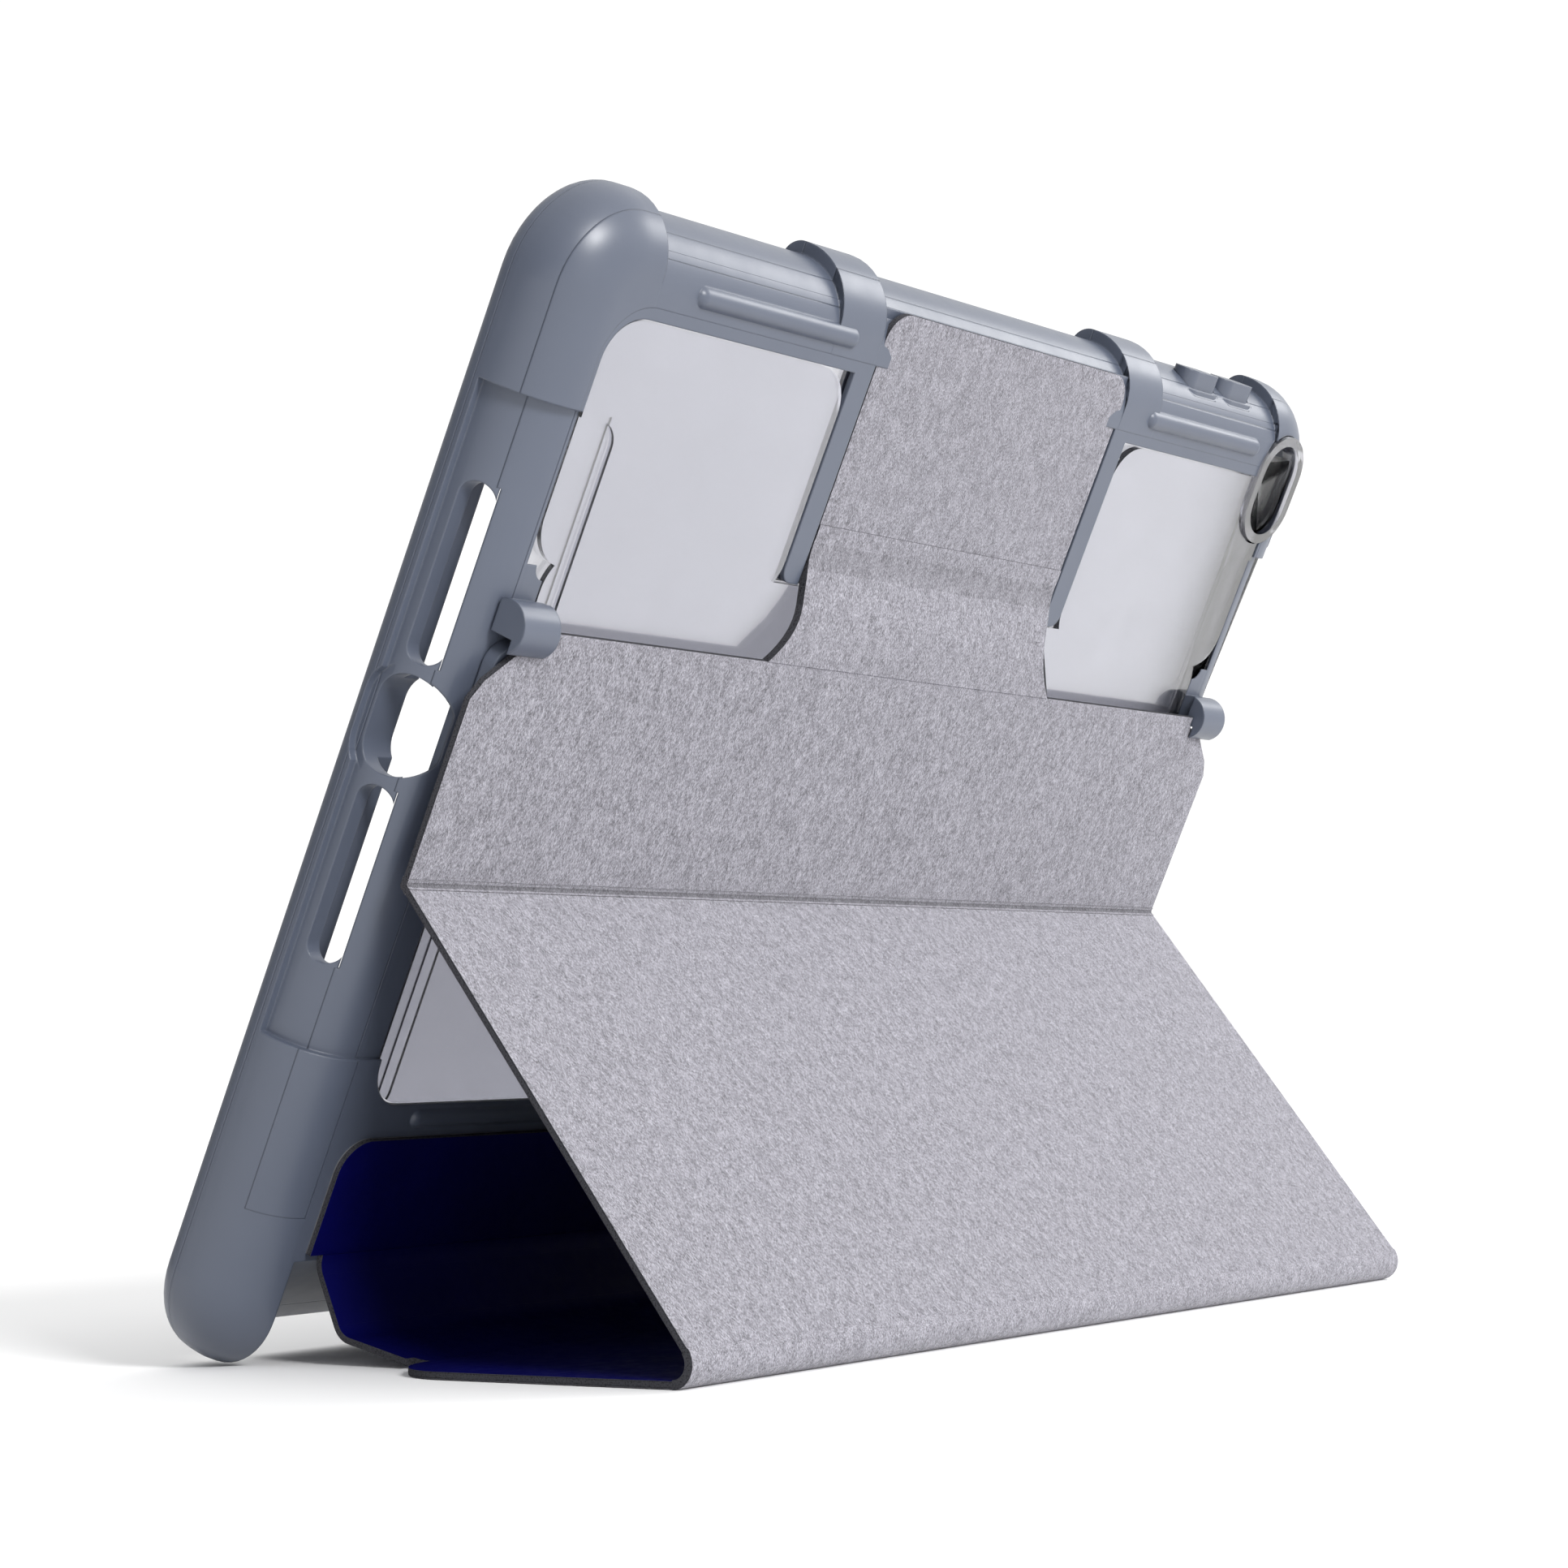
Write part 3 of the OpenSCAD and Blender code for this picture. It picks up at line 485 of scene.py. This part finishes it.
clear, shader, place = finish_of("clear_polycarbonate")
shader.inputs["Base Color"].default_value = clear_tint
shader.inputs["Transmission Weight"].default_value = 1.0
shader.inputs["IOR"].default_value = clear_bend
shader.inputs["Coat Weight"].default_value = 1.0
shader.inputs["Coat Roughness"].default_value = clear_gloss
clear.node_tree.links.new(ramp(clear, noise(clear, place, clear_wear),
                               [(0.3, clear_haze[0]), (0.7, clear_haze[1])]),
                          shader.inputs["Roughness"])
bed = block("bed", (-bed_half, bed_low, -4 * mm), (bed_half, bed_top, 2 * mm), bed_radius)
carve(bed, camera_block(ring_half), "UNION")
stand_up(bed)
back = copy_of("clear_back", "clear_back_polished")
carve(back, bed, "INTERSECT")
back.data.materials.clear()
back.data.materials.append(clear)
rounded(back, clear_edge)

panes = block("clear_panes", (-lower_half, lower_low, pane_under),
              (lower_half, lower_top, pane_face), pane_radius)
for side in (-1, 1):
    low_x, high_x = sorted((side * side_inner, side * side_outer))
    pane = block("pane", (low_x, side_low, pane_under), (high_x, side_top, pane_face), pane_radius)
    carve(panes, pane, "UNION")
for side in (-1, 1):
    low_x, high_x = sorted((side * step_inner, side * step_outer))
    carve(panes, block("finger_step", (low_x, step_low, step_face), (high_x, step_top, mm), step_radius))
carve(panes, camera_block(pane_gap))
stand_up(panes)
panes.data.materials.clear()
panes.data.materials.append(clear)
rounded(panes, pane_edge)
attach(panes, "case")
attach(back, "case")
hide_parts("clear_back")

# ---------------------------------------------------------------------------
# Magnets and keepers: nickel-plated plates, sealed in the laminate of the
# cover and in the tongue of the frame.

nickel_colour = (0.62, 0.61, 0.58, 1)
nickel_scale = 700
nickel_shine = (0.22, 0.38)

nickel, shader, place = finish_of("nickel_plate")
shader.inputs["Metallic"].default_value = 1.0
shader.inputs["Base Color"].default_value = nickel_colour
nickel.node_tree.links.new(ramp(nickel, noise(nickel, place, nickel_scale),
                                [(0.3, nickel_shine[0]), (0.7, nickel_shine[1])]),
                           shader.inputs["Roughness"])
for name in ("tab_keepers", "prop_magnets", "rest_magnets", "tab_magnets"):
    nodes[name].material_slots[0].material = nickel

# ---------------------------------------------------------------------------
# Board and glue: the cover's stiffener is a grey pressed board, which shows
# only as the middle of each cut edge, where it is porous and a little fuzzy.
# A thin film of glue holds the anchor panel to the frame.

edge_dark = (0.010, 0.010, 0.012, 1)
edge_grey = (0.052, 0.052, 0.060, 1)
edge_fleck = (0.16, 0.16, 0.17, 1)
edge_pores, pore_depth = 3400, 0.15 * mm
edge_roughness, edge_specular = 0.95, 0.15
glue_dark = (0.10, 0.10, 0.11, 1)
glue_grey = (0.16, 0.16, 0.17, 1)
glue_scale, glue_roughness = 300, 0.4

cut_edge, shader, place = finish_of("cut_edge")
pores = noise(cut_edge, place, edge_pores, 4, 0.7)
cut_edge.node_tree.links.new(
    ramp(cut_edge, pores, [(0.36, edge_dark), (0.5, edge_grey), (0.66, edge_grey), (0.74, edge_fleck)]),
    shader.inputs["Base Color"])
shader.inputs["Roughness"].default_value = edge_roughness
shader.inputs["Specular IOR Level"].default_value = edge_specular
bump(cut_edge, shader, pores, 0.5, pore_depth)
for name in ("anchor_board", "ground_board", "prop_board", "rest_board", "tab_board"):
    nodes[name].material_slots[0].material = cut_edge

glue, shader, place = finish_of("glue_film")
glue.node_tree.links.new(ramp(glue, noise(glue, place, glue_scale), [(0.3, glue_dark), (0.7, glue_grey)]),
                         shader.inputs["Base Color"])
shader.inputs["Roughness"].default_value = glue_roughness
nodes["anchor_glue"].material_slots[0].material = glue

# ---------------------------------------------------------------------------
# Cover skin: a navy coated leathercloth, glued over the boards and facing
# into the stand. It is one sheet from the anchor panel on the frame, down
# the spine, over the ground panel and up to the tab, soft at each fold.

navy_deep = (0.0005, 0.0006, 0.050, 1)
navy_worn = (0.0010, 0.0012, 0.075, 1)
leather_grain, grain_relief = 1500, 0.05 * mm
leather_cloud, leather_wear = 30, 420
leather_specular = 0.08
leather_shine = (0.55, 0.7)
skin_border, skin_drop = 3.2 * mm, 0.14 * mm
anchor_border, anchor_drop = 1.2 * mm, 0.1 * mm
layer_edge, layer_angle = 0.12 * mm, 50

navy, shader, place = finish_of("navy_leathercloth")
navy.node_tree.links.new(ramp(navy, noise(navy, place, leather_cloud), [(0.3, navy_deep), (0.7, navy_worn)]),
                         shader.inputs["Base Color"])
shader.inputs["Specular IOR Level"].default_value = leather_specular
navy.node_tree.links.new(ramp(navy, noise(navy, place, leather_wear),
                              [(0.3, leather_shine[0]), (0.7, leather_shine[1])]),
                         shader.inputs["Roughness"])
pebbles = navy.node_tree.nodes.new("ShaderNodeTexVoronoi")
pebbles.inputs["Scale"].default_value = leather_grain
navy.node_tree.links.new(place, pebbles.inputs["Vector"])
bump(navy, shader, pebbles.outputs["Distance"], 0.25, grain_relief)


def middle(node):
    """The middle of a node's box."""
    low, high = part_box(node)
    return (low + high) / 2


def paint_faces(piece, finishes, outward):
    """Cut edge on the sides, and the two faces' own finishes outwards and inwards."""
    for finish in finishes:
        piece.data.materials.append(finish)
    for face in piece.data.polygons:
        facing = face.normal.dot(outward)
        face.material_index = 0 if facing > 0.5 else 1 if facing < -0.5 else 2


def cover_layer(node, body, outward, finish, border=skin_border, drop=skin_drop):
    """A layer of the cover, its face pressed thinner along the border."""
    piece = copy_of(node, node + "_cloth")
    bpy.ops.object.mode_set(mode="EDIT")
    bpy.ops.mesh.select_mode(type="FACE")
    bpy.ops.mesh.select_all(action="DESELECT")
    bpy.ops.object.mode_set(mode="OBJECT")
    for face in piece.data.polygons:
        face.select = face.normal.dot(outward) > 0.9
    bpy.ops.object.mode_set(mode="EDIT")
    bpy.ops.mesh.inset(thickness=border, use_even_offset=True)
    bpy.ops.transform.translate(value=tuple(outward * 0.001 * mm))
    bpy.ops.object.mode_set(mode="OBJECT")
    inner = {v for face in piece.data.polygons if face.select for v in face.vertices}
    top = max(v.co.dot(outward) for v in piece.data.vertices)
    for v in piece.data.vertices:
        if v.index not in inner and v.co.dot(outward) > top - 0.1 * mm:
            v.co -= outward * drop
    rounded(piece, layer_edge, 2, layer_angle)
    paint_faces(piece, (finish, cut_edge, cut_edge), outward)
    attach(piece, body)
    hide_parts(node)
    return piece


anchor_out = (middle("anchor_skin") - middle("anchor_board")).normalized()
anchor_cloth = cover_layer("anchor_skin", "case", anchor_out, navy, anchor_border, anchor_drop)

skin_flats = {"ground": (0.240, 0.0614), "prop": (0.240, 0.0894),
              "rest": (0.240, 0.0436), "tab": (0.0816, 0.0396)}
for panel, flat in skin_flats.items():
    inward = (middle(panel + "_skin") - middle(panel + "_lining")).normalized()
    body = panel if panel == "tab" else panel + "_panel"
    cover_layer(panel + "_skin", body, inward, navy)

# ---------------------------------------------------------------------------
# Cover lining: a brushed microfibre, grey with dark and light fibres, glued
# over the outside of the boards in the stand. Its border is pressed thinner
# where the layers are cut together.

fibre_dark = (0.075, 0.073, 0.081, 1)
fibre_grey = (0.222, 0.217, 0.245, 1)
fibre_pale = (0.40, 0.395, 0.436, 1)
fibre_scale, fibre_depth = 4300, 0.08 * mm
fibre_lean, fibre_stretch = radians(35), 0.5
fibre_roughness, fibre_specular = 0.95, 0.1
fibre_sheen, sheen_roughness = 0.15, 0.5
nap_scale, nap_depth = 130, 0.2 * mm


def microfibre(name, angle, shade=1.0):
    """Short fibres lying one way in the plane of a panel, darker where a crease keeps the light out."""
    made, shader, place = finish_of(name)
    laid = turned(made, place, angle, (1.0, fibre_stretch, fibre_lean))
    fibres = noise(made, laid, fibre_scale, 3, 0.7)
    tufts = sum_of(made, noise(made, laid, fibre_scale / 5, 2), "MULTIPLY_ADD", 0.3, -0.15)
    fibres = sum_of(made, fibres, "ADD", tufts)
    stops = [(0.30, fibre_dark), (0.5, fibre_grey), (0.70, fibre_pale)]
    stops = [(at, tuple(c * shade for c in colour[:3]) + (1,)) for at, colour in stops]
    made.node_tree.links.new(ramp(made, fibres, stops), shader.inputs["Base Color"])
    shader.inputs["Roughness"].default_value = fibre_roughness
    shader.inputs["Specular IOR Level"].default_value = fibre_specular
    shader.inputs["Sheen Weight"].default_value = fibre_sheen
    shader.inputs["Sheen Roughness"].default_value = sheen_roughness
    bump(made, shader, noise(made, place, nap_scale, 2), 0.25, nap_depth)
    bump(made, shader, fibres, 0.5, fibre_depth)
    return made


def angle_out(outward):
    """The angle of a panel's length to the ground, from its outward normal."""
    return Vector((outward.y, outward.z)).angle_signed(Vector((0, 1)))


outwards = {}
for panel in ("ground", "prop", "rest", "tab"):
    outwards[panel] = (middle(panel + "_lining") - middle(panel + "_skin")).normalized()
    body = panel if panel == "tab" else panel + "_panel"
    felt = microfibre(panel + "_microfibre", angle_out(outwards[panel]))
    cover_layer(panel + "_lining", body, outwards[panel], felt)

# ---------------------------------------------------------------------------
# Strap: leathercloth and lining glued back to back with no board between
# them, so that it bends round the case's top edge and ends in the tab.

outwards["strap"] = (middle("strap_lining") - middle("strap_skin")).normalized()
strap_felt = microfibre("strap_microfibre", angle_out(outwards["strap"]))
for node, finish, side in (("strap_lining", strap_felt, 1), ("strap_skin", navy, -1)):
    strip = copy_of(node, node + "_cloth")
    paint_faces(strip, (finish, finish, cut_edge), outwards["strap"] * side)
    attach(strip, "strap")
    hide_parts(node)

# ---------------------------------------------------------------------------
# Spine: two slats of leathercloth over lining with no board, which bend at
# three creases between the anchor panel and the ground panel.

spine_out = {}
for half in ("upper", "lower"):
    spine_out[half] = (middle("spine_" + half + "_lining") - middle("spine_" + half + "_skin")).normalized()
    for layer, finish, side in (("lining", "grey_lining", 1), ("skin", "navy_skin", -1)):
        node = "spine_" + half + "_" + layer
        slat = copy_of(node, node + "_cloth")
        face = strap_felt if layer == "lining" else navy
        paint_faces(slat, (face, face, cut_edge), spine_out[half] * side)
        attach(slat, "spine_" + half)
        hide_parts(node)

# ---------------------------------------------------------------------------
# Folds: at each crease only the leathercloth and the microfibre go on, glued
# to each other, and the real cover bends there; here each fold is a still piece,
# not tied to the panels on either side. The two creases that show are pressed
# in, with their middles painted darker as painted shade, and the strap's lower
# end flares into the panel.

crease_dip, strap_dip = 0.35 * mm, 0.3 * mm
# How much darker the felt is painted in the middle of the two pressed creases: painted shade, where 1 paints
# none.
crease_painted_shade, strap_painted_shade = 0.5, 0.85
held_end = 0.15
# Half width, as a share of the fold's length, of the band painted darker as shade.
painted_shade_band_half = 0.2
strap_flare, flare_rim = 6.0 * mm, 0.1 * mm
end_facing, side_facing = 0.999, 0.7
# Each fold: its node, the bodies on both sides, their outward directions, dip of the crease and how dark its
# painted shade is.
folds = (
    ("anchor_fold", "case", "spine_upper", -anchor_out, spine_out["upper"], 0, 1),
    ("spine_crease", "spine_upper", "spine_lower", spine_out["upper"], spine_out["lower"], 0, 1),
    ("spine_ground_fold", "spine_lower", "ground_panel", spine_out["lower"], outwards["ground"], 0, 1),
    ("ground_fold", "ground_panel", "prop_panel", outwards["ground"], outwards["prop"], 0, 1),
    ("prop_fold", "prop_panel", "rest_panel", outwards["prop"], outwards["rest"], crease_dip, crease_painted_shade),
    ("strap_lower_fold", "rest_panel", "strap", outwards["rest"], outwards["strap"], 0, 1),
    ("strap_upper_fold", "strap", "tab", outwards["strap"], outwards["tab"], strap_dip, strap_painted_shade))


def ends_of(piece, near, far):
    """The middles of the two end faces, where the fold meets its panels."""
    along_near = Vector((0, -near.z, near.y))
    along_far = Vector((0, -far.z, far.y))
    first = [face for face in piece.data.polygons if abs(face.normal.dot(along_near)) > end_facing]
    last = [face for face in piece.data.polygons if abs(face.normal.dot(along_far)) > end_facing]
    start = max(first, key=lambda face: face.area).center.copy()
    end = max(last, key=lambda face: face.area).center.copy()
    return start, end


for node, near_body, far_body, near, far, dip, shade in folds:
    fold = copy_of(node, node + "_cloth")
    outward = (near + far).normalized()
    start, end = ends_of(fold, near, far)
    length = (end - start).length
    half_width = max(v.co.x for v in fold.data.vertices)
    for v in fold.data.vertices:
        along = min(max((v.co - start).dot(end - start) / length ** 2, 0), 1)
        free_share = min(max((along - held_end) / (1 - 2 * held_end), 0), 1)
        v.co -= outward * dip * sin(pi * free_share)
        if node == "strap_lower_fold" and abs(v.co.x) > half_width - flare_rim:
            v.co.x += strap_flare * (1 - along) ** 2 * (1 if v.co.x > 0 else -1)
    if node.startswith(("spine", "anchor")):
        felt = strap_felt
    else:
        felt = microfibre(node + "_microfibre", angle_out(outward))
    # The middle faces of the two pressed creases get a darker copy of the microfibre: painted shade.
    shaded_crease_felt = felt if shade == 1 else microfibre(node + "_groove", angle_out(outward), shade)
    for finish in (felt, navy, cut_edge, shaded_crease_felt):
        fold.data.materials.append(finish)
    for face in fold.data.polygons:
        along = (face.center - start).dot(end - start) / length ** 2
        if abs(face.normal.x) > side_facing:
            face.material_index = 2
        elif face.normal.dot(outward) <= 0:
            face.material_index = 1
        else:
            face.material_index = 3 if abs(along - 0.5) < painted_shade_band_half else 0
    deselect()
    bpy.context.view_layer.objects.active = fold
    fold.select_set(True)
    bpy.ops.object.shade_smooth_by_angle(angle=smooth_within)
    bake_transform(fold)
    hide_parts(node)
